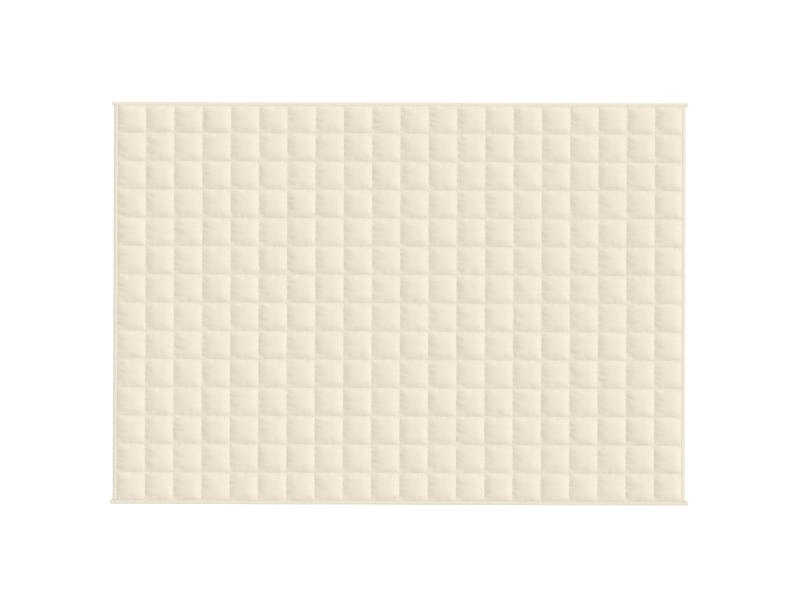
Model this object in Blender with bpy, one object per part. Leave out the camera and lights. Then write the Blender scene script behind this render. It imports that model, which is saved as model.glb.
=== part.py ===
"""A weighted blanket, lying flat: a filled quilt sewn into squares, with its four edges bound in tape.

Metres, +Z up. The origin is on the surface that the blanket lies on, under its middle.
+X runs along its length and +Y across it, towards the edge called far.
"""

import math
import random
from collections import namedtuple

import bmesh
import bpy
from mathutils import Vector

# Driving dimensions.
LENGTH = 2.000  # along X, between the outer edges of the end bindings
COLUMNS = 20  # squares along X
ROWS = 14  # squares along Y
EDGE_MARGIN = 0.0113  # from the outermost grid line to the outer edge of the binding
TAPE_WIDTH = 0.0145  # of the binding, as it shows on the face
TAPE_HEIGHT = 0.0050  # of the binding, lying on the surface
TAPE_WALL = 0.0012  # one folded side of the tape
PIECE_CLEARANCE = 0.0003  # between two pieces that are sewn together
STITCH_THICKNESS = 0.0020  # both covers pressed together along a stitch line

PITCH = (LENGTH - 2 * EDGE_MARGIN) / COLUMNS
HALF_LENGTH = LENGTH / 2
HALF_WIDTH = ROWS * PITCH / 2 + EDGE_MARGIN
FACE_LEVEL = TAPE_HEIGHT / 2 + STITCH_THICKNESS / 2
BACK_LEVEL = TAPE_HEIGHT / 2 - STITCH_THICKNESS / 2
RAW_EDGE = TAPE_WALL + PIECE_CLEARANCE  # from the binding's outer edge in to the quilt's own edge
SLOPE_START = TAPE_WIDTH + PIECE_CLEARANCE  # from the outer edge in to the first square's slope

# How one square swells from its stitch lines: each step goes inward and then away from them.
Step = namedtuple("Step", "name inward rise")
FACE_STEPS = (
    Step("shoulder", 0.0120, 0.0056),
    Step("brow", 0.0150, 0.0031),
)
BACK_STEPS = (Step("sole", 0.0060, BACK_LEVEL),)
UNEVEN_FILL = 0.0007  # how much higher or lower one square's top is than the next
FILL_SEED = 14

# How far the ends of the two long bindings stand past the end bindings.
TabPair = namedtuple("TabPair", "binding left right")
TABS = (
    TabPair("long_binding_far", 0.0070, 0.0080),
    TabPair("long_binding_near", 0.0075, 0.0105),
)
NOSE_POINTS = 6  # facets round the binding's outer fold

CREAM = (0.83, 0.77, 0.64, 1.0)
TAPE_CREAM = (0.84, 0.78, 0.66, 1.0)


def clear_scene():
    for obj in list(bpy.data.objects):
        bpy.data.objects.remove(obj)


def cloth_material(name, colour, roughness):
    material = bpy.data.materials.new(name)
    material.use_nodes = True
    shader = material.node_tree.nodes["Principled BSDF"]
    shader.inputs["Base Color"].default_value = colour
    shader.inputs["Roughness"].default_value = roughness
    shader.inputs["Metallic"].default_value = 0.0
    return material


def add_object(name, bm, material):
    """Closes the bmesh into a mesh object of that name."""
    bmesh.ops.recalc_face_normals(bm, faces=bm.faces)
    mesh = bpy.data.meshes.new(name)
    bm.to_mesh(mesh)
    bm.free()
    mesh.materials.append(material)
    obj = bpy.data.objects.new(name, mesh)
    bpy.context.scene.collection.objects.link(obj)
    return obj


def outward(vert, distance):
    """Moves a point on the outline of a panel away from the middle, along X, Y or both at a corner."""
    at_end = abs(vert.co.x) > HALF_LENGTH - PITCH / 2
    at_side = abs(vert.co.y) > HALF_WIDTH - PITCH / 2
    if at_end:
        vert.co.x += distance * math.copysign(1, vert.co.x)
    if at_side:
        vert.co.y += distance * math.copysign(1, vert.co.y)


def panel(bm, level, side, steps, unevenness):
    """One cover of the quilt, with its squares swelling to the side given, and its flat edge.

    Returns the edges of its outline.
    """
    made = bmesh.ops.create_grid(bm, x_segments=COLUMNS, y_segments=ROWS, size=0.5)
    verts = made["verts"]
    for vert in verts:
        vert.co = Vector((vert.co.x * COLUMNS * PITCH, vert.co.y * ROWS * PITCH, level))
    squares = {face for vert in verts for face in vert.link_faces}
    outline = [edge for edge in bm.edges if edge.is_boundary and edge.verts[0] in set(verts)]
    for vert in {vert for edge in outline for vert in edge.verts}:
        outward(vert, EDGE_MARGIN - SLOPE_START)

    grown = bmesh.ops.extrude_edge_only(bm, edges=outline)["geom"]
    for vert in (item for item in grown if isinstance(item, bmesh.types.BMVert)):
        outward(vert, SLOPE_START - RAW_EDGE)
    outline = [item for item in grown if isinstance(item, bmesh.types.BMEdge) and item.is_boundary]

    squares = sorted(squares, key=lambda face: tuple(face.calc_center_median()))
    for step in steps:
        bmesh.ops.inset_individual(bm, faces=squares, thickness=step.inward, use_even_offset=True)
        for vert in {vert for face in squares for vert in face.verts}:
            vert.co.z += side * step.rise
    fill = random.Random(FILL_SEED)
    for face in squares:
        lift = fill.uniform(-unevenness, unevenness)
        for vert in face.verts:
            vert.co.z += side * lift
    return outline


def build_quilt(material):
    """The filled quilt: one solid, with its squares on both faces and a flat edge all round."""
    bm = bmesh.new()
    face_outline = panel(bm, FACE_LEVEL, 1, FACE_STEPS, UNEVEN_FILL)
    back_outline = panel(bm, BACK_LEVEL, -1, BACK_STEPS, 0.0)
    bmesh.ops.bridge_loops(bm, edges=face_outline + back_outline)
    return add_object("quilt", bm, material)


def tape_section():
    """The outline of a closed binding, seen along it: (across, up) pairs.

    Across runs from the outer edge, at 0, in over the quilt.
    """
    radius = TAPE_HEIGHT / 2
    points = []
    for i in range(NOSE_POINTS + 1):
        angle = math.pi / 2 + math.pi * i / NOSE_POINTS
        points.append((radius + radius * math.cos(angle), radius + radius * math.sin(angle)))
    return points + [(TAPE_WIDTH, 0.0), (TAPE_WIDTH, TAPE_HEIGHT)]


def bar(bm, section, start, end):
    """A bar of that section from start to end along X, its outer edge towards +Y at Y = 0."""
    rings = [[bm.verts.new((x, -across, up)) for across, up in section] for x in (start, end)]
    for ring in rings:
        bm.faces.new(ring)
    for i in range(len(section)):
        j = (i + 1) % len(section)
        bm.faces.new((rings[0][i], rings[0][j], rings[1][j], rings[1][i]))


def slot_cutter(name, start, end):
    """The space that the quilt's edge takes up inside a binding, open on the inner side."""
    deep = TAPE_WIDTH + TAPE_WALL
    middle = (TAPE_WALL + deep) / 2
    opening = STITCH_THICKNESS + 2 * PIECE_CLEARANCE
    bm = bmesh.new()
    bmesh.ops.create_cube(bm, size=1.0)
    bmesh.ops.scale(bm, vec=(end - start, deep - TAPE_WALL, opening), verts=bm.verts)
    place = Vector(((start + end) / 2, -middle, TAPE_HEIGHT / 2))
    bmesh.ops.translate(bm, vec=place, verts=bm.verts)
    mesh = bpy.data.meshes.new(name)
    bm.to_mesh(mesh)
    bm.free()
    cutter = bpy.data.objects.new(name, mesh)
    bpy.context.scene.collection.objects.link(cutter)
    cutter.hide_render = True
    cutter.display_type = "WIRE"
    return cutter


def build_binding(name, material, bar_span, slot_span, place, turn):
    """A strip of folded tape, closed past its slot, set on one edge of the quilt.

    Both spans are (start, end) along the strip's own X.
    """
    bm = bmesh.new()
    bar(bm, tape_section(), *bar_span)
    strip = add_object(name, bm, material)
    strip.data.shade_smooth()
    strip.data.set_sharp_from_angle(angle=math.radians(40))
    cutter = slot_cutter(name + "_slot", *slot_span)
    cut = strip.modifiers.new("slot", "BOOLEAN")
    cut.operation = "DIFFERENCE"
    cut.solver = "EXACT"
    cut.object = cutter
    for obj in (strip, cutter):
        obj.location = place
        obj.rotation_euler.z = turn


def build_long_bindings(material):
    """The bindings along X. They go on last, over the ends of the other two, and stand past them."""
    quilt_half = HALF_LENGTH - RAW_EDGE + PIECE_CLEARANCE
    for side, tabs in zip((1, -1), TABS):
        # Turned half round, the near strip's own +X points to the left.
        at_start, at_end = (tabs.left, tabs.right) if side > 0 else (tabs.right, tabs.left)
        bar_span = (-HALF_LENGTH - at_start, HALF_LENGTH + at_end)
        slot_span = (-quilt_half, quilt_half)
        place = Vector((0.0, side * HALF_WIDTH, 0.0))
        turn = 0.0 if side > 0 else math.pi
        build_binding(tabs.binding, material, bar_span, slot_span, place, turn)


def build_end_bindings(material):
    """The bindings along Y, between the long bindings' inner edges. Their slots run right through."""
    half = HALF_WIDTH - TAPE_WIDTH - PIECE_CLEARANCE
    slot_half = half + TAPE_WIDTH
    for side, name in ((-1, "end_binding_left"), (1, "end_binding_right")):
        place = Vector((side * HALF_LENGTH, 0.0, 0.0))
        turn = -side * math.pi / 2
        build_binding(name, material, (-half, half), (-slot_half, slot_half), place, turn)


def main():
    clear_scene()
    build_quilt(cloth_material("cover_fabric", CREAM, 0.85))
    tape = cloth_material("binding_tape", TAPE_CREAM, 0.8)
    build_long_bindings(tape)
    build_end_bindings(tape)


main()
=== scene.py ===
"""The looks of a weighted blanket: a filled quilt sewn into squares, bound in folded tape, face up.

Metres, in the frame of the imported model: +X along the blanket, +Y across it, +Z out of its face.
"""

import math
from collections import namedtuple

import bpy
import numpy as np
from mathutils import Matrix, Vector


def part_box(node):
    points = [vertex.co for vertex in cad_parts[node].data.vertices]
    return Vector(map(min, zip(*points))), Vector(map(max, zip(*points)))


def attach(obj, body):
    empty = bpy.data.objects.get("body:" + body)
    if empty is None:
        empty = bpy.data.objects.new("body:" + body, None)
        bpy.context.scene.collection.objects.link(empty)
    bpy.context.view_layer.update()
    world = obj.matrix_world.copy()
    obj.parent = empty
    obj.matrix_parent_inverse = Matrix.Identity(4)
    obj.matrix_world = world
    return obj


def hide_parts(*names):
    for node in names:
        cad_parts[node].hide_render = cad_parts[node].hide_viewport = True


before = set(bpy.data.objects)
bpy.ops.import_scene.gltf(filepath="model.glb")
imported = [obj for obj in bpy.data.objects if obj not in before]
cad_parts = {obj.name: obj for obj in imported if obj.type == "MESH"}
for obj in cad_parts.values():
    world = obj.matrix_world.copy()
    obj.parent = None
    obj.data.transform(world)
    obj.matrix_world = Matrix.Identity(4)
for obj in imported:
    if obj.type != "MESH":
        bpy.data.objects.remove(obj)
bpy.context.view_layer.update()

# ---------------------------------------------------------------- sizes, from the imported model
tape_low, tape_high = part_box("end_binding_right")
far_low, far_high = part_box("long_binding_far")
near_low, near_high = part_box("long_binding_near")

COLUMNS = 20  # squares along X
ROWS = 14  # squares along Y
EDGE_MARGIN = 0.0113  # from the outermost grid line to the outer edge of the binding
HALF_LENGTH = tape_high.x
HALF_WIDTH = far_high.y
TAPE_WIDTH = tape_high.x - tape_low.x
TAPE_HEIGHT = tape_high.z
PITCH = 2 * (HALF_LENGTH - EDGE_MARGIN) / COLUMNS

SEAM_THICKNESS = 0.0020  # both covers pressed together along a stitch line
FACE_LEVEL = (TAPE_HEIGHT + SEAM_THICKNESS) / 2
BACK_LEVEL = (TAPE_HEIGHT - SEAM_THICKNESS) / 2
PRESSED = 0.0001  # how much lower each cover lies at the binding's inner edge than at a stitch line
RAW_PRESSED = 0.0007  # and the upper cover at the quilt's own cut edge
RAW_EDGE = 0.0045  # from the binding's outer edge in to the quilt's own cut edge
DRAWN_IN = 0.0013  # how much narrower the tape is where its stitches pull it in
SHOWN_WIDTH = TAPE_WIDTH - DRAWN_IN
OUTER_LINE = SHOWN_WIDTH + 0.0003  # from the outer edge in to the first square

# The lines that divide one square of each cover, as shares of its width. They are close at a seam.
# Across the blanket there are more of them, as the cover has more gathers that way.
CREASE = 0.016
FACE_STEPS_ALONG = [0.0, *np.linspace(CREASE, 1 - CREASE, 13), 1.0]
FACE_STEPS_ACROSS = [0.0, *np.linspace(CREASE, 1 - CREASE, 22), 1.0]
BACK_STEPS = [0.0, 0.035, 0.5, 0.965, 1.0]

# ---------------------------------------------------------------- helpers for shaping


def deselect():
    bpy.ops.object.select_all(action="DESELECT")


def pick(*pieces):
    """Selects these pieces alone, the first one active."""
    deselect()
    for piece in pieces:
        piece.select_set(True)
    bpy.context.view_layer.objects.active = pieces[0]


def points_of(piece):
    points = np.empty(len(piece.data.vertices) * 3, np.float32)
    piece.data.vertices.foreach_get("co", points)
    return points.reshape(-1, 3)


def place_points(piece, points):
    piece.data.vertices.foreach_set("co", np.asarray(points, np.float32).ravel())
    piece.data.update()


def smooth_step(share):
    share = np.clip(share, 0, 1)
    return share * share * (3 - 2 * share)


def apply_modifiers(piece):
    pick(piece)
    for modifier in list(piece.modifiers):
        bpy.ops.object.modifier_apply(modifier=modifier.name)


def face_outwards(piece):
    """Turns the faces of a closed piece so that they all point out of it."""
    pick(piece)
    bpy.ops.object.mode_set(mode="EDIT")
    bpy.ops.mesh.select_all(action="SELECT")
    bpy.ops.mesh.normals_make_consistent(inside=False)
    bpy.ops.object.mode_set(mode="OBJECT")


DRIFT_BAND = 0.10  # of the blanket beside each edge, which drifts with it
DRIFT_WIDTH = 0.09  # from the band's inner side to where it drifts as far as the edge

# Each edge of the blanket. Out is how far it lies outside its place, in the middle of the edge, and
# more is how much further for each metre along it: the blanket was laid out by hand, so it is a
# millimetre or two out of square. Its tape is a little narrower on the face than the others, and its
# stitches draw the tape's inner edge that much deeper into the quilt.
Edge = namedtuple("Edge", "node axis side out more narrower deeper")
EDGES = (
    Edge("long_binding_far", 1, 1, -0.0002, 0.00126, 0.0, -0.0004),
    Edge("long_binding_near", 1, -1, 0.0015, -0.00065, 0.0004, 0.0006),
    Edge("end_binding_left", 0, -1, 0.0018, 0.0, 0.0012, 0.0010),
    Edge("end_binding_right", 0, 1, -0.0008, -0.00150, 0.0, -0.0004),
)


def half_size(edge):
    return (HALF_LENGTH, HALF_WIDTH)[edge.axis]


def from_middle(points, edge):
    """How far points lie from the middle of the blanket, towards one edge."""
    return edge.side * points[:, edge.axis]


def settle(points):
    """Moves every piece the way a blanket drifts when it is laid out: up to 3 mm at the edges."""
    x, y = points[:, 0], points[:, 1]
    moved = points.copy()
    # The whole blanket sways by a quarter of a millimetre in long waves, and a little less in short ones.
    moved[:, 0] += 0.00025 * np.sin(7.1 * y + 1.3) + 0.00015 * np.sin(17.0 * y - 5.0 * x + 0.4)
    moved[:, 1] += 0.00025 * np.sin(5.3 * x + 2.1) + 0.00015 * np.sin(13.0 * x + 6.0 * y + 1.9)
    for edge in EDGES:
        beside = from_middle(points, edge) - half_size(edge) + DRIFT_BAND
        outermost = smooth_step(beside / DRIFT_WIDTH)
        out = edge.out + edge.more * points[:, 1 - edge.axis]
        moved[:, edge.axis] += edge.side * out * outermost
    return moved


def finish_piece(piece, name, material, slot, *nodes):
    """Names a piece, gives it its cloth, lays it with the others and puts it on the frame."""
    piece.name = name
    piece.data.name = name
    place_points(piece, settle(points_of(piece)))
    piece.data.materials.clear()
    piece.data.materials.append(material)
    pick(piece)
    bpy.ops.object.shade_smooth()
    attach(piece, "root")
    if nodes:
        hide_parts(*nodes)
    return piece


# ---------------------------------------------------------------- the quilt

ROUND_ALONG = 3.0  # how soon a square's crown levels out, along X: more is flatter
ROUND_ACROSS = 3.6
SHOULDER = 0.85
START_RISE = 0.0095  # of the crown above the stitch lines, before the filling is blown in
SLACK = 0.006  # how much more cloth there is than the stitch lines take up
FILL_PRESSURE = 3.0
LEAST_FILL = 0.75  # the emptiest square beside the fullest
SETTLING_FRAMES = 20
HIGHEST_CROWN = 0.0115
FILL_SEED = 5
KNEE = 0.7  # of the highest crown: above it the crowns level out
START_UNEVENNESS = 0.0001  # of the cloth, before the filling is blown in

FURROW_DEPTH = 0.0034
FURROW_LENGTH = 0.28  # of a square
FURROW_WIDTHS = (0.022, 0.045)  # of a square, at the stitches
FURROW_ROOT = 0.03  # of a square, from the stitches to where a furrow has its whole depth
FURROWS_A_SIDE = (4, 7)  # at least the first number and fewer than the second
FURROWS_END = 0.75  # of a square, from their row of stitches

# How deep the furrows are ahead of a row of stitches and behind it, as shares of the depth above.
BESIDE_ROWS_ACROSS = (1.0, 0.25)
BESIDE_ROWS_ALONG = (0.3, 0.1)

Squares = namedtuple("Squares", "piece column row u v")


def grid_lines(count):
    """Where the stitch lines lie from the middle, and the outer edges of the first and last square."""
    lines = (np.arange(count + 1) - count / 2) * PITCH
    lines[-1] += EDGE_MARGIN - OUTER_LINE
    lines[0] = -lines[-1]
    return lines


def cover(steps_along, steps_across, level):
    """A flat cloth over all the squares, with mesh lines at the given steps across each one."""
    many, few = len(steps_along) - 1, len(steps_across) - 1
    bpy.ops.mesh.primitive_grid_add(x_subdivisions=COLUMNS * many, y_subdivisions=ROWS * few, size=1)
    piece = bpy.context.object
    points = points_of(piece)
    along = np.rint((points[:, 0] + 0.5) * COLUMNS * many).astype(int)
    across = np.rint((points[:, 1] + 0.5) * ROWS * few).astype(int)
    column = np.minimum(along // many, COLUMNS - 1)
    row = np.minimum(across // few, ROWS - 1)
    u, v = np.array(steps_along)[along - column * many], np.array(steps_across)[across - row * few]
    x_lines, y_lines = grid_lines(COLUMNS), grid_lines(ROWS)
    points[:, 0] = x_lines[column] + u * (x_lines[column + 1] - x_lines[column])
    points[:, 1] = y_lines[row] + v * (y_lines[row + 1] - y_lines[row])
    points[:, 2] = level
    place_points(piece, points)
    return Squares(piece, column, row, u, v)


def crown(squares):
    """How high each point of a cover stands in its square: 0 on the stitch lines and 1 in the middle."""
    along = 1 - np.abs(2 * squares.u - 1) ** ROUND_ALONG
    across = 1 - np.abs(2 * squares.v - 1) ** ROUND_ACROSS
    return (np.clip(along, 0, 1) * np.clip(across, 0, 1)) ** SHOULDER


def furrows(chance, along, away, ahead, behind):
    """The furrows that the stitches of one side of a square pull into the cover, as depths below 0.

    Along and away are in squares: along the row of stitches from its start, and off it. Furrows are
    deeper ahead of the row, where away is over 0, than behind it.
    """
    total = np.zeros_like(along)
    count = chance.integers(*FURROWS_A_SIDE)
    vigour = chance.uniform(0.6, 1.3)
    places = 0.06 + 0.88 * (np.arange(count) + 0.5 + chance.uniform(-0.3, 0.3, count)) / count
    for place in places:
        depth = FURROW_DEPTH * vigour * chance.uniform(0.5, 1.3)
        width = chance.uniform(*FURROW_WIDTHS)
        length = FURROW_LENGTH * chance.uniform(0.45, 1.25)
        slant = chance.uniform(-0.25, 0.25) + (0.5 - place) * 0.35
        for off, share in ((away, ahead), (-away, behind)):
            off = np.clip(off, 0, None)
            broad = width * (1 + 1.2 * off / FURROW_LENGTH)
            beside = np.exp(-(((along - place - slant * off) / broad) ** 2))
            rooted = np.clip(off / FURROW_ROOT, 0, 1)
            total -= share * depth * beside * rooted * np.exp(-((off / length) ** 2))
    return total


def all_furrows(squares, chance):
    """The furrows of every row of stitches. Most are beside the rows that run across the blanket."""
    x, y = squares.column + squares.u, squares.row + squares.v
    total = np.zeros_like(x)
    for line in range(COLUMNS + 1):
        for row in range(ROWS):
            near = (np.abs(x - line) < FURROWS_END) & (y >= row) & (y <= row + 1)
            total[near] += furrows(chance, y[near] - row, x[near] - line, *BESIDE_ROWS_ACROSS)
    for line in range(ROWS + 1):
        for column in range(COLUMNS):
            near = (np.abs(y - line) < FURROWS_END) & (x >= column) & (x <= column + 1)
            total[near] += furrows(chance, x[near] - column, y[near] - line, *BESIDE_ROWS_ALONG)
    return total


def weigh(piece, name, weights):
    """A vertex group with these weights, in twenty steps."""
    group = piece.vertex_groups.new(name=name)
    stepped = np.rint(weights * 20).astype(int)
    for step in np.unique(stepped[stepped > 0]):
        group.add([int(i) for i in np.nonzero(stepped == step)[0]], float(step) / 20, "REPLACE")
    return group


def blow_in_filling(piece, fill, stitched):
    """Cloth with more slack than its stitch lines take up, pushed out by the filling, so that it puckers."""
    weigh(piece, "stitched", stitched.astype(float))
    weigh(piece, "filled", fill)
    cloth = piece.modifiers.new("filling", "CLOTH")
    settings = cloth.settings
    settings.quality = 5
    settings.mass = 0.3
    settings.tension_stiffness = 15
    settings.compression_stiffness = 15
    settings.shear_stiffness = 5
    settings.bending_stiffness = 5
    settings.air_damping = 1
    settings.use_pressure = True
    settings.uniform_pressure_force = FILL_PRESSURE
    settings.vertex_group_pressure = "filled"
    settings.vertex_group_mass = "stitched"
    settings.shrink_min = -SLACK
    settings.shrink_max = -SLACK
    settings.effector_weights.gravity = 0
    cloth.collision_settings.use_collision = False
    cloth.point_cache.frame_start = 1
    cloth.point_cache.frame_end = SETTLING_FRAMES
    for step in range(1, SETTLING_FRAMES + 1):
        bpy.context.scene.frame_set(step)
    apply_modifiers(piece)
    piece.vertex_groups.clear()


def level_out(piece):
    """Keeps the crowns between the stitch lines' level and the highest one."""
    points = points_of(piece)
    height = np.clip(points[:, 2] - FACE_LEVEL, 0, None)
    knee = HIGHEST_CROWN * KNEE
    room = HIGHEST_CROWN - knee
    height = np.where(height > knee, knee + room * np.tanh((height - knee) / room), height)
    points[:, 2] = FACE_LEVEL + height
    place_points(piece, points)


def make_face():
    """The upper cover, stitched down along the grid and filled between."""
    squares = cover(FACE_STEPS_ALONG, FACE_STEPS_ACROSS, FACE_LEVEL)
    piece = squares.piece
    stitched = (squares.u % 1 == 0) | (squares.v % 1 == 0)
    chance = np.random.default_rng(FILL_SEED)
    fill = chance.uniform(LEAST_FILL, 1.0, (COLUMNS, ROWS))[squares.column, squares.row]
    points = points_of(piece)
    rise = crown(squares)
    points[:, 2] += START_RISE * fill * rise + all_furrows(squares, chance) * np.minimum(1, 6 * rise)
    points[:, 2] += np.where(stitched, 0, chance.normal(0, START_UNEVENNESS, len(points)))
    place_points(piece, points)
    blow_in_filling(piece, fill, stitched)
    level_out(piece)
    return piece


def make_back():
    """The lower cover: flat where it lies on the surface, and lifted along the stitch lines."""
    squares = cover(BACK_STEPS, BACK_STEPS, 0.0)
    points = points_of(squares.piece)
    stitched = (squares.u % 1 == 0) | (squares.v % 1 == 0)
    points[:, 2] = np.where(stitched, BACK_LEVEL, 0.0)
    place_points(squares.piece, points)
    return squares.piece


def grow_edge(piece, level, raw_level, drawn):
    """A thin edge outside the last squares, which goes into the binding.

    Drawn is 1 on the face, where the bindings' stitches draw it down by each edge's own amount.
    """
    pick(piece)
    bpy.ops.object.mode_set(mode="EDIT")
    bpy.ops.mesh.select_mode(type="EDGE")
    bpy.ops.mesh.select_all(action="DESELECT")
    bpy.ops.mesh.select_non_manifold()
    bpy.ops.mesh.extrude_edges_move()
    bpy.ops.object.mode_set(mode="OBJECT")
    new = np.empty(len(piece.data.vertices), bool)
    piece.data.vertices.foreach_get("select", new)
    points = points_of(piece)
    for edge in EDGES:
        half = half_size(edge)
        outermost = from_middle(points, edge) > half - OUTER_LINE - 0.0001
        points[outermost, 2] = level - drawn * edge.deeper
        points[outermost, edge.axis] = edge.side * (half - OUTER_LINE + edge.narrower)
        points[outermost & new, edge.axis] = edge.side * (half - RAW_EDGE)
    points[new, 2] = raw_level
    place_points(piece, points)


def make_quilt(material):
    face, back = make_face(), make_back()
    grow_edge(face, FACE_LEVEL - PRESSED, FACE_LEVEL - RAW_PRESSED, 1)
    grow_edge(back, BACK_LEVEL - PRESSED, BACK_LEVEL - PRESSED, 0)
    pick(face, back)
    bpy.ops.object.join()
    bpy.ops.object.mode_set(mode="EDIT")
    bpy.ops.mesh.select_mode(type="EDGE")
    bpy.ops.mesh.select_all(action="DESELECT")
    bpy.ops.mesh.select_non_manifold()
    bpy.ops.mesh.bridge_edge_loops()
    bpy.ops.object.mode_set(mode="OBJECT")
    face_outwards(face)
    quilt = finish_piece(face, "filled_quilt", material, "cover_fabric", "quilt")
    return quilt


# ---------------------------------------------------------------- the bindings

TAPE_THICKNESS = 0.0004
TAPE_STEP = 0.005  # between mesh lines along a tape
TAPE_STITCHING = 0.0018  # from the tape's inner edge to its row of stitches
TAPE_MIDDLE = 0.0076  # from the outer edge in to the fold where a narrower tape starts to differ
HEM = 0.0017  # how much of the tape, from its inner edge, is drawn down
PUFF = 0.00055  # the height of the tape's gathers
WAVER = 0.0005  # how far its inner edge strays
CORNER = 0.02  # from the tape across it to where its inner edge lies freely
FLARE_LENGTH = 0.013  # of a tape's outer edge, where the tape across it pulls it out
SEWN_END = 0.0024  # how much of a tape's end its last fold takes up
CLOSE_LINES = (0.0, 0.0005, 0.0012, 0.0022, 0.0036, 0.0055, 0.0080, 0.0110, 0.0145, 0.0185)
EVENING_LINES = 20  # mesh lines after the close ones, over which they become even

# The middle of the tape's thickness from its inner edge on the face, round the fold, to the back.
# The puff is how much of the tape's gathers each fold takes part in.
Fold = namedtuple("Fold", "inward height puff")
FACE_FOLDS = (
    Fold(SHOWN_WIDTH, 0.00352, 0.0),
    Fold(SHOWN_WIDTH - 0.0003, 0.00370, 0.1),
    Fold(SHOWN_WIDTH - 0.0008, 0.00386, 0.1),
    Fold(SHOWN_WIDTH - 0.0018, 0.00388, 0.0),
    Fold(SHOWN_WIDTH - 0.0026, 0.00393, 0.3),
    Fold(SHOWN_WIDTH - 0.0040, 0.00398, 0.9),
    Fold(TAPE_MIDDLE, 0.00402, 1.0),
    Fold(0.00560, 0.00384, 1.0),
    Fold(0.00350, 0.00336, 0.7),
)
BACK_FOLDS = (
    Fold(0.00400, 0.00036, 0.0),
    Fold(0.00800, 0.00036, 0.0),
    Fold(SHOWN_WIDTH - 0.0028, 0.00045, 0.0),
    Fold(SHOWN_WIDTH - 0.0018, 0.00075, 0.0),
    Fold(SHOWN_WIDTH - 0.0009, 0.00045, 0.0),
    Fold(SHOWN_WIDTH, 0.00055, 0.0),
)
NOSE_ANGLES = (66, 38, 10, -18, -46, -74)
NOSE_MIDDLE = 0.00165  # inward from the outer edge, and up from the surface
NOSE_REACH = 0.00132

# One strip of tape: its CAD node, where it is sewn, and how its ends lie. A reach is how far an end
# goes past the end bindings, a drop moves it outwards, a spread widens it, and a flare is an outer
# edge pulled out by the tape across it. They are given for the strip's own start and end.
Strip = namedtuple("Strip", "name node turn across reach drop spread flare seed")
STRIPS = (
    Strip(
        "tape_far", "long_binding_far", 0, HALF_WIDTH,
        (-HALF_LENGTH - far_low.x, far_high.x - HALF_LENGTH), (0.0015, 0.0), (0.95, 1.03), (0, 0), 11,
    ),
    Strip(
        "tape_near", "long_binding_near", 180, HALF_WIDTH,
        (near_high.x - HALF_LENGTH, -HALF_LENGTH - near_low.x), (0.0, 0.0), (1.16, 1.15), (0, 0), 12,
    ),
    Strip("tape_left", "end_binding_left", 90, HALF_LENGTH, None, (0, 0), (1, 1), (0.0070, 0), 13),
    Strip("tape_right", "end_binding_right", -90, HALF_LENGTH, None, (0, 0), (1, 1), (0, 0.0075), 14),
)


def tape_folds():
    """All the folds of a tape in order, with the round nose between the face and the back."""
    nose = []
    for degrees in NOSE_ANGLES:
        angle = math.radians(degrees)
        inward = NOSE_MIDDLE - NOSE_REACH * math.cos(angle)
        nose.append(Fold(inward, NOSE_MIDDLE + NOSE_REACH * math.sin(angle), 0.3))
    return FACE_FOLDS + tuple(nose) + BACK_FOLDS


def ripple(along, inward, seed):
    """The gathers that a row of stitches pulls into a tape: from -1 to 1, slanting a little."""
    chance = np.random.default_rng(seed)
    total = np.zeros_like(along)
    for wavelength in (0.0112, 0.0163, 0.0245, 0.0410):
        phase, slant = chance.uniform(0, 2 * math.pi), chance.uniform(0.3, 0.9)
        swell = 0.6 + 0.4 * np.sin(along / chance.uniform(0.05, 0.16) + chance.uniform(0, 6))
        total += swell * np.sin(2 * math.pi * (along + slant * inward) / wavelength + phase)
    return total / 4


def edge_of(strip):
    return next(edge for edge in EDGES if edge.node == strip.node)


def share_from(inward, start):
    """From 0 at that distance inward to 1 at the tape's inner edge."""
    return np.clip((inward - start) / (SHOWN_WIDTH - start), 0, 1)


def reach_of(strip):
    return strip.reach or (0.0, 0.0)


def strip_half(strip):
    """Half the length of a strip between the other two, without the ends that stand past them."""
    return HALF_LENGTH if strip.reach else HALF_WIDTH - SHOWN_WIDTH - 0.0002


def placed(strip):
    """The matrix that takes a strip from its own place, along X with its fold at Y = 0, to its edge."""
    turn = Matrix.Rotation(math.radians(strip.turn), 4, "Z")
    return turn @ Matrix.Translation((0, strip.across, 0))


def gathered(strip, folds, fold, along):
    """How far inward and how high each point of a tape lies, from its fold and its place along."""
    inward, height, puff = (np.array([getattr(f, what) for f in folds])[fold] for what in Fold._fields)
    height = height + PUFF * puff * ripple(along, inward, strip.seed)
    clear = np.clip((strip_half(strip) - SHOWN_WIDTH - np.abs(along)) / CORNER, 0, 1)
    edge = edge_of(strip)
    drawn = (height > TAPE_HEIGHT / 2) * clear * share_from(inward, SHOWN_WIDTH - HEM)
    height = height - edge.deeper * drawn
    inward = inward - edge.narrower * clear * share_from(inward, TAPE_MIDDLE)
    inward = inward + WAVER * clear * (inward > TAPE_WIDTH / 2) * ripple(along, 0.0, strip.seed + 40)
    return inward, height


def nearer_middle(height, share):
    """Heights moved towards the middle of the tape's thickness, by a share of the way."""
    return TAPE_HEIGHT / 2 + (height - TAPE_HEIGHT / 2) * (1 - share)


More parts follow.
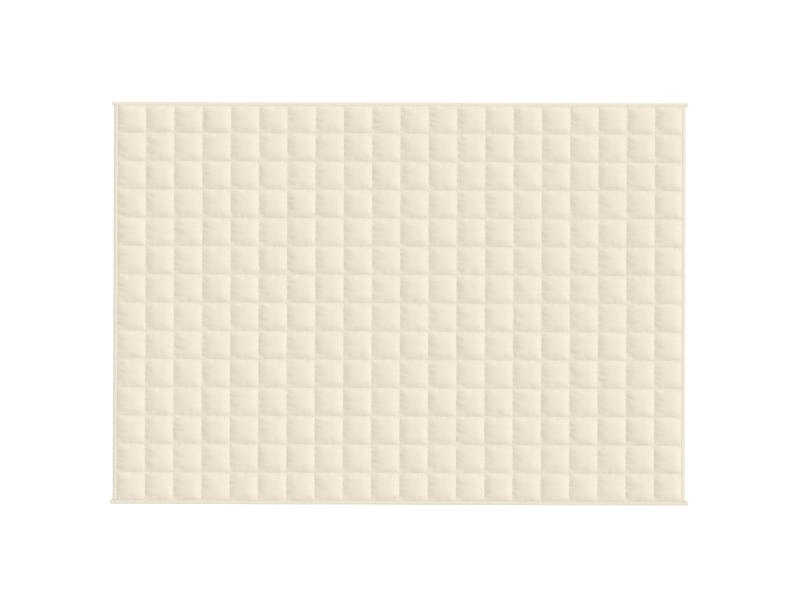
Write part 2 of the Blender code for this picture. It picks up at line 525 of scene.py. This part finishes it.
def lay_ends(strip, along, inward, height):
    """The points of a tape, with the ends that stand out sewn shut and the ends under them flared."""
    half = strip_half(strip)
    outward = np.zeros_like(along)
    reach = reach_of(strip)
    for side, past, dropped, spread, flared in zip((-1, 1), reach, strip.drop, strip.spread, strip.flare):
        if past:
            beyond = smooth_step((side * along - half + 0.003) / (past + 0.001))
            height = nearer_middle(height, 0.22 * beyond)
            inward = inward * (1 + (spread - 1) * beyond)
            outward = outward + dropped * beyond
            to_end = past + half - side * along
            closed = 1 - np.clip(to_end / SEWN_END, 0, 1) ** 2
            height = nearer_middle(height, 0.72 * closed)
            inward = inward + closed * 0.0007 * np.sign(TAPE_WIDTH / 2 - inward)
        if flared:
            near_end = np.clip(1 - (half - side * along) / FLARE_LENGTH, 0, 1)
            outer = np.clip(1 - inward / TAPE_WIDTH, 0, 1) ** 0.7
            outward = outward + flared * near_end ** 1.6 * outer
            tucked = near_end ** 4 * np.clip(1 - inward / 0.006, 0, 1)
            along = along + side * 0.0022 * tucked
            height = height * (1 - 0.25 * tucked)
    return np.stack([along, outward - inward, height], axis=1)


def make_tape(strip, material):
    folds = tape_folds()
    reach = reach_of(strip)
    start, end = -strip_half(strip) - reach[0], strip_half(strip) + reach[1]
    lines = int((end - start) / TAPE_STEP)
    bpy.ops.mesh.primitive_grid_add(x_subdivisions=lines, y_subdivisions=len(folds) - 1, size=1)
    piece = bpy.context.object
    points = points_of(piece)
    fold = np.rint((points[:, 1] + 0.5) * (len(folds) - 1)).astype(int)
    share = points[:, 0] + 0.5
    if strip.reach:
        share = closer_at_ends(share, lines)
    along = start + (end - start) * share
    place_points(piece, lay_ends(strip, along, *gathered(strip, folds, fold, along)))
    wall = piece.modifiers.new("wall", "SOLIDIFY")
    wall.thickness = TAPE_THICKNESS
    wall.offset = 0
    apply_modifiers(piece)
    piece.data.transform(placed(strip))
    face_outwards(piece)
    tape = finish_piece(piece, strip.name, material, "binding_tape", strip.node)
    return tape


def closer_at_ends(share, lines):
    """Moves the mesh lines of a strip together at its two ends, where its last folds are."""
    line = np.rint(share * lines)
    from_end = np.minimum(line, lines - line)
    close = np.array(CLOSE_LINES)
    start = close[np.minimum(from_end, len(close) - 1).astype(int)]
    gap = len(close) * TAPE_STEP - close[-1]
    fade = np.clip(1 - (from_end - len(close)) / EVENING_LINES, 0, 1)
    distance = np.where(from_end < len(close), start, from_end * TAPE_STEP - gap * fade * 0.8)
    near = distance / (lines * TAPE_STEP)
    return np.where(line * 2 <= lines, near, 1 - near)


# ---------------------------------------------------------------- the stitches

STITCH_PITCH = 0.0040
STITCH_LENGTH = 0.0033
THREAD = 0.00045  # its diameter
STITCH_LIFT = 0.0002  # of the grid's stitches off the cover
TAPE_STITCHES_FACE = 0.00410  # the height of the stitches on each side of a tape
TAPE_STITCHES_BACK = 0.00040


def one_stitch():
    """A stitch along X, thick in the middle, its ends going down into the cloth."""
    bpy.ops.mesh.primitive_cylinder_add(
        vertices=3, radius=THREAD / 2, depth=STITCH_LENGTH * 0.5, end_fill_type="TRIFAN",
        rotation=(0, math.pi / 2, 0),
    )
    stitch = bpy.context.object
    bpy.ops.object.transform_apply(location=True, rotation=True, scale=True)
    points = points_of(stitch)
    tip = np.hypot(points[:, 1], points[:, 2]) < THREAD / 10
    points[tip, 0] = np.sign(points[tip, 0]) * STITCH_LENGTH / 2
    points[tip, 2] -= THREAD * 0.7
    place_points(stitch, points)
    return stitch


def row_of_stitches(length, rows=1, apart=0.0):
    """Stitches along X, centred on the origin, and the row repeated along Y."""
    stitch = one_stitch()
    count = int(length / STITCH_PITCH)
    for name, number, step in (("along", count, (STITCH_PITCH, 0, 0)), ("across", rows, (0, apart, 0))):
        array = stitch.modifiers.new(name, "ARRAY")
        array.use_relative_offset = False
        array.use_constant_offset = True
        array.constant_offset_displace = step
        array.count = number
    apply_modifiers(stitch)
    middle = ((count - 1) * STITCH_PITCH / 2, (rows - 1) * apart / 2, 0)
    stitch.data.transform(Matrix.Translation(-Vector(middle)))
    return stitch


def make_grid_stitches(material):
    """The stitches of the grid, on the face and on the back, along and across the blanket."""
    long_run = 2 * (HALF_LENGTH - OUTER_LINE) - STITCH_PITCH
    short_run = 2 * (HALF_WIDTH - OUTER_LINE) - STITCH_PITCH
    for way, run, rows, turn in (("along", long_run, ROWS - 1, 0), ("across", short_run, COLUMNS - 1, 90)):
        sides = (("face", FACE_LEVEL + STITCH_LIFT, 0), ("back", BACK_LEVEL - STITCH_LIFT, 180))
        for side, level, flip in sides:
            rows_piece = row_of_stitches(run, rows, PITCH)
            place = Matrix.Translation((0, 0, level))
            place = place @ Matrix.Rotation(math.radians(turn), 4, "Z")
            place = place @ Matrix.Rotation(math.radians(flip), 4, "X")
            rows_piece.data.transform(place)
            finish_piece(rows_piece, f"stitches_{way}_{side}", material, "cover_fabric")


def make_tape_stitches(material):
    """One row along each tape, on the face and on the back."""
    for side, level, flip in (("face", TAPE_STITCHES_FACE, 0), ("back", TAPE_STITCHES_BACK, 180)):
        rows = []
        for strip in STRIPS:
            reach = reach_of(strip)
            length = 2 * strip_half(strip) + sum(reach) - 2 * SEWN_END
            middle = (reach[1] - reach[0]) / 2
            inward = SHOWN_WIDTH - TAPE_STITCHING
            inward -= edge_of(strip).narrower * share_from(inward, TAPE_MIDDLE)
            row = row_of_stitches(length)
            place = placed(strip) @ Matrix.Translation((middle, -inward, level))
            row.data.transform(place @ Matrix.Rotation(math.radians(flip), 4, "X"))
            rows.append(row)
        pick(*rows)
        bpy.ops.object.join()
        finish_piece(bpy.context.object, f"binding_stitches_{side}", material, "binding_tape")


# ---------------------------------------------------------------- the cloths


class Nodes:
    """Short calls for building one material's node tree."""

    def __init__(self, name):
        self.material = bpy.data.materials.new(name)
        self.material.use_nodes = True
        self.tree = self.material.node_tree
        self.shader = self.tree.nodes["Principled BSDF"]

    def link(self, source, target):
        self.tree.links.new(source, target)

    def add(self, kind, **values):
        """A node, with sockets or settings given by name. A value that is an output socket is linked."""
        node = self.tree.nodes.new(kind)
        for name, value in values.items():
            socket = node.inputs.get(name.replace("_", " ").strip()) if name[0].isupper() else None
            if socket is None:
                setattr(node, name, value)
            elif isinstance(value, bpy.types.NodeSocket):
                self.link(value, socket)
            else:
                socket.default_value = value
        return node

    def math(self, operation, first, second=0.0, third=0.0):
        node = self.tree.nodes.new("ShaderNodeMath")
        node.operation = operation
        for socket, value in zip(node.inputs, (first, second, third)):
            if isinstance(value, bpy.types.NodeSocket):
                self.link(value, socket)
            else:
                socket.default_value = value
        return node.outputs[0]

    def mix(self, share, first, second):
        node = self.tree.nodes.new("ShaderNodeMix")
        node.data_type = "RGBA"
        for socket, value in ((node.inputs[0], share), (node.inputs[6], first), (node.inputs[7], second)):
            if isinstance(value, bpy.types.NodeSocket):
                self.link(value, socket)
            else:
                socket.default_value = value
        return node.outputs[2]


def weave(nodes, coordinates, yarn):
    """A plain weave, from 0 between the yarns to 1 on top of them, with uneven yarns."""
    drift = nodes.add("ShaderNodeTexNoise", Vector=coordinates, Scale=260.0, Detail=2.0)
    offset = nodes.add("ShaderNodeVectorMath", operation="MULTIPLY_ADD")
    nodes.link(drift.outputs["Color"], offset.inputs[0])
    offset.inputs[1].default_value = (yarn * 1.1,) * 3
    nodes.link(coordinates, offset.inputs[2])
    parts = nodes.add("ShaderNodeSeparateXYZ", Vector=offset.outputs[0])
    turns = math.pi / yarn
    warp = nodes.math("SINE", nodes.math("MULTIPLY", parts.outputs["X"], turns))
    weft = nodes.math("SINE", nodes.math("MULTIPLY", parts.outputs["Y"], turns))
    over = nodes.math("MULTIPLY", warp, weft)
    thread = nodes.math("MAXIMUM", nodes.math("ABSOLUTE", warp), nodes.math("ABSOLUTE", weft))
    return nodes.math("MULTIPLY_ADD", over, 0.22, nodes.math("MULTIPLY", thread, 0.7))


def cotton(name, cream, shade, sheen, wrinkles):
    """Fine matt cotton. The wrinkles, if any, are a function that adds the height of its creases."""
    nodes = Nodes(name)
    place = nodes.add("ShaderNodeTexCoord").outputs["Object"]
    cloth = weave(nodes, place, 0.00042)
    dye = nodes.add("ShaderNodeTexNoise", Vector=place, Scale=9.0, Detail=3.0).outputs["Fac"]
    slub = nodes.add("ShaderNodeTexNoise", Vector=place, Scale=420.0, Detail=2.0).outputs["Fac"]
    tone = nodes.math("MULTIPLY_ADD", dye, 0.7, nodes.math("MULTIPLY", slub, 0.3))
    # The weave also sets the colour, darker between the yarns: painted shade in the weave's hollows. The dye
    # and slub noise are the cloth's own uneven tone.
    tone = nodes.math("MULTIPLY_ADD", cloth, 0.25, nodes.math("MULTIPLY", tone, 0.75))
    colour = nodes.mix(tone, shade, cream)
    nodes.link(colour, nodes.shader.inputs["Base Color"])
    rough = nodes.math("MULTIPLY_ADD", slub, 0.16, 0.76)
    nodes.link(rough, nodes.shader.inputs["Roughness"])
    nodes.shader.inputs["Specular IOR Level"].default_value = 0.25
    nodes.shader.inputs["Sheen Weight"].default_value = sheen
    nodes.shader.inputs["Sheen Roughness"].default_value = 0.5
    nodes.shader.inputs["Sheen Tint"].default_value = (1.0, 0.97, 0.92, 1.0)
    fine = nodes.add("ShaderNodeBump", Strength=0.35, Distance=0.00012, Height=cloth)
    last = fine
    if wrinkles:
        last = nodes.add("ShaderNodeBump", Strength=0.6, Distance=0.0020, Height=wrinkles(nodes, place))
        nodes.link(fine.outputs["Normal"], last.inputs["Normal"])
    nodes.link(last.outputs["Normal"], nodes.shader.inputs["Normal"])
    return nodes.material


def pulled_from_seams(nodes, place):
    """Fine gathers that run out from each stitch line and fade within about 20 mm."""
    parts = nodes.add("ShaderNodeSeparateXYZ", Vector=place)
    total = None
    for axis, scale in (("X", (16.0, 120.0, 0.0)), ("Y", (120.0, 16.0, 0.0))):
        squares = nodes.math("DIVIDE", parts.outputs[axis], PITCH)
        away = nodes.math("ABSOLUTE", nodes.math("SUBTRACT", squares, nodes.math("ROUND", squares)))
        near = nodes.math("POWER", nodes.math("SUBTRACT", 1.0, nodes.math("MULTIPLY", away, 2.0)), 5.0)
        stretched = nodes.add("ShaderNodeMapping", Vector=place, Scale=scale)
        gathers = nodes.add("ShaderNodeTexNoise", Vector=stretched.outputs[0], Scale=1.0, Detail=2.0)
        height = nodes.math("MULTIPLY", gathers.outputs["Fac"], near)
        total = height if total is None else nodes.math("ADD", total, height)
    return total


def sewing_thread():
    nodes = Nodes("sewing_thread")
    place = nodes.add("ShaderNodeTexCoord").outputs["Object"]
    twist = nodes.add("ShaderNodeTexNoise", Vector=place, Scale=1500.0, Detail=1.0).outputs["Fac"]
    colour = nodes.mix(twist, (0.76, 0.71, 0.61, 1.0), (0.86, 0.81, 0.71, 1.0))
    nodes.link(colour, nodes.shader.inputs["Base Color"])
    nodes.link(nodes.math("MULTIPLY_ADD", twist, 0.2, 0.5), nodes.shader.inputs["Roughness"])
    nodes.shader.inputs["Sheen Weight"].default_value = 0.2
    return nodes.material


# ---------------------------------------------------------------- the studio


def make_floor():
    bpy.ops.mesh.primitive_plane_add(size=40, location=(0, 0, -0.0003))
    floor = bpy.context.object
    floor.name = "studio_floor"
    nodes = Nodes("white_floor")
    nodes.shader.inputs["Base Color"].default_value = (0.93, 0.93, 0.93, 1)
    nodes.shader.inputs["Roughness"].default_value = 0.9
    nodes.shader.inputs["Specular IOR Level"].default_value = 0.0
    nodes.shader.inputs["Emission Color"].default_value = (1, 1, 1, 1)
    nodes.shader.inputs["Emission Strength"].default_value = 0.15
    floor.data.materials.append(nodes.material)


def make_lights():
    """White light all round, and a broad soft lamp from the right, low and a little from the far side."""
    scene = bpy.context.scene
    world = bpy.data.worlds.new("studio")
    scene.world = world
    world.use_nodes = True
    world.node_tree.nodes["Background"].inputs["Color"].default_value = (1, 1, 1, 1)
    world.node_tree.nodes["Background"].inputs["Strength"].default_value = 0.79
    lamp = bpy.data.lights.new("soft_lamp", "SUN")
    lamp.energy = 1.80
    lamp.angle = math.radians(25)
    holder = bpy.data.objects.new("soft_lamp", lamp)
    scene.collection.objects.link(holder)
    holder.rotation_euler = Vector((-1.0, -0.5, -0.85)).to_track_quat("-Z", "Y").to_euler()
    scene.view_settings.view_transform = "Standard"


def make_camera():
    """Straight above, with a long lens, turned a fifth of a degree."""
    camera = bpy.data.cameras.new("camera")
    camera.lens = 85
    camera.sensor_width = 36
    view_width = 2.795  # at the height of the crowns
    crowns = 0.008
    height = view_width * camera.lens / camera.sensor_width + crowns
    camera.clip_end = 100
    holder = bpy.data.objects.new("camera", camera)
    bpy.context.scene.collection.objects.link(holder)
    holder.location = (-0.0004, 0.0111, height)
    holder.rotation_euler = (0, 0, math.radians(0.22))
    bpy.context.scene.camera = holder


CREAM = (0.775, 0.709, 0.600, 1.0)
CREAM_SHADE = (0.715, 0.650, 0.542, 1.0)
TAPE_CREAM = (0.765, 0.717, 0.612, 1.0)
TAPE_SHADE = (0.705, 0.657, 0.553, 1.0)

make_camera()
make_lights()
make_floor()
cover_cotton = cotton("cover_cotton", CREAM, CREAM_SHADE, 0.15, pulled_from_seams)
tape_cotton = cotton("tape_cotton", TAPE_CREAM, TAPE_SHADE, 0.10, None)
thread = sewing_thread()
make_quilt(cover_cotton)
for strip in STRIPS:
    make_tape(strip, tape_cotton)
make_grid_stitches(thread)
make_tape_stitches(thread)
